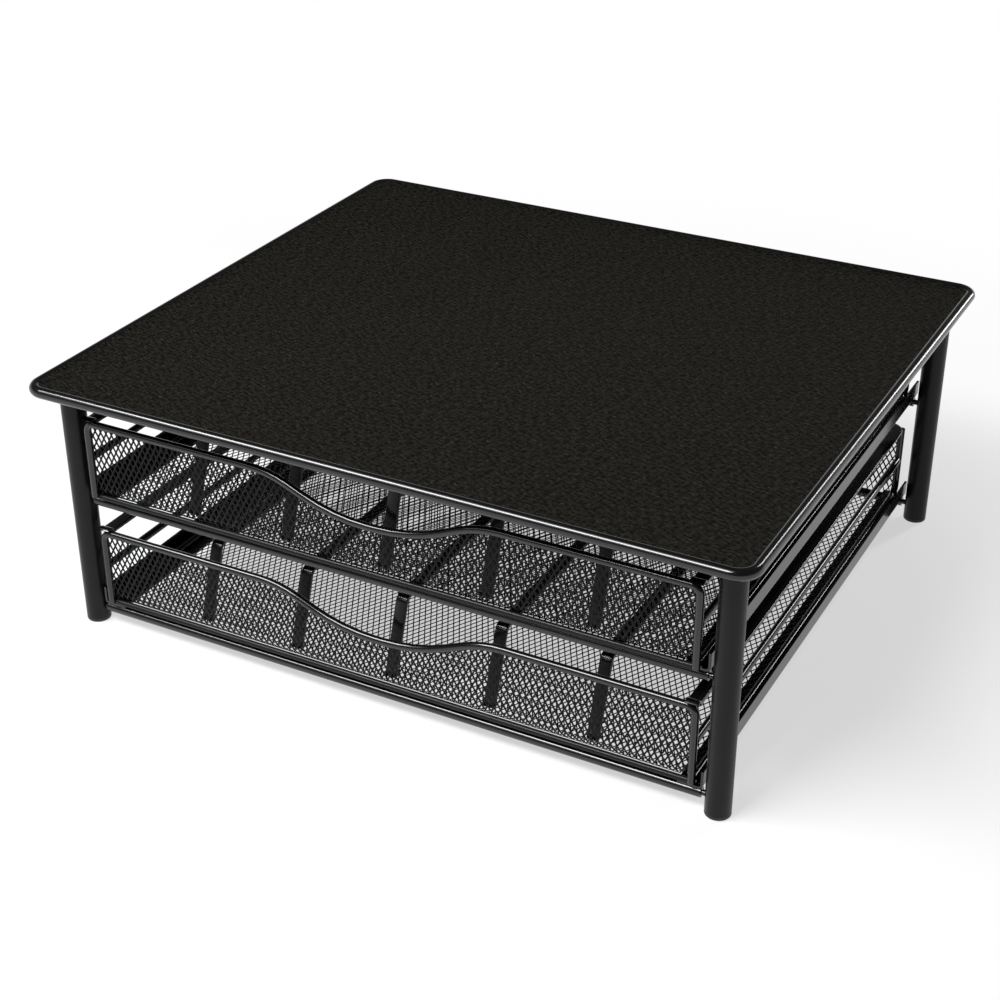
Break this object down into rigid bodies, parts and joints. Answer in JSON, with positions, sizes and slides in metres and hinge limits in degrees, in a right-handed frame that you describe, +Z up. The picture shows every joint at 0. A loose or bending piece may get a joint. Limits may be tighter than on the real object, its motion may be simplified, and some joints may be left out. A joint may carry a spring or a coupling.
{
  "type": "coffee pod drawer",
  "caption": "Black metal coffee pod storage with a flat tabletop for a coffee machine, tube legs and sliding expanded-mesh drawers with dividers, one above the other",
  "frame": {"origin": "On the table, under the middle of the tabletop", "axes": "+X to the right along the front, +Y to the back, +Z up"},
  "size_m": [0.394, 0.353, 0.145],
  "materials": {
    "satin_black_metal": "satin powder coat",
    "gloss_black_metal": "gloss powder coat",
    "textured_black_top": "fine textured powder coat",
    "black_mesh": "semi-gloss powder coat on expanded mesh",
    "black_plastic": "matte"
  },
  "bodies": {
    "frame": {"top_panel": "textured_black_top", "rim_rod": "gloss_black_metal", "leg_front_left": "satin_black_metal", "leg_front_right": "satin_black_metal", "leg_back_left": "satin_black_metal", "leg_back_right": "satin_black_metal", "foot_front_left": "black_plastic", "foot_front_right": "black_plastic", "foot_back_left": "black_plastic", "foot_back_right": "black_plastic", "track_lower_left": "gloss_black_metal", "track_lower_right": "gloss_black_metal", "track_upper_left": "gloss_black_metal", "track_upper_right": "gloss_black_metal", "rod_lower_front": "gloss_black_metal", "rod_lower_back": "gloss_black_metal", "rod_upper_front": "gloss_black_metal", "rod_upper_back": "gloss_black_metal"},
    "lower_drawer": {"lower_front_wire": "gloss_black_metal", "lower_foot_wire": "satin_black_metal", "lower_side_wire_left": "gloss_black_metal", "lower_side_wire_right": "gloss_black_metal", "lower_rail_left": "gloss_black_metal", "lower_rail_right": "gloss_black_metal", "lower_strip": "gloss_black_metal", "lower_mesh_tray": "black_mesh", "lower_divider_1": "gloss_black_metal", "lower_divider_2": "gloss_black_metal", "lower_divider_3": "gloss_black_metal", "lower_divider_4": "gloss_black_metal", "lower_divider_5": "gloss_black_metal"},
    "upper_drawer": {"upper_front_wire": "gloss_black_metal", "upper_foot_wire": "satin_black_metal", "upper_side_wire_left": "gloss_black_metal", "upper_side_wire_right": "gloss_black_metal", "upper_rail_left": "gloss_black_metal", "upper_rail_right": "gloss_black_metal", "upper_strip": "gloss_black_metal", "upper_mesh_tray": "black_mesh", "upper_divider_1": "gloss_black_metal", "upper_divider_2": "gloss_black_metal", "upper_divider_3": "gloss_black_metal", "upper_divider_4": "gloss_black_metal", "upper_divider_5": "gloss_black_metal"}
  },
  "joints": [
    {"name": "lower_drawer_slide", "type": "slide", "parent": "frame", "child": "lower_drawer", "axis": [0, -1, 0], "range_m": [0, 0.25]},
    {"name": "upper_drawer_slide", "type": "slide", "parent": "frame", "child": "upper_drawer", "axis": [0, -1, 0], "range_m": [-0.003, 0.247]}
  ]
}
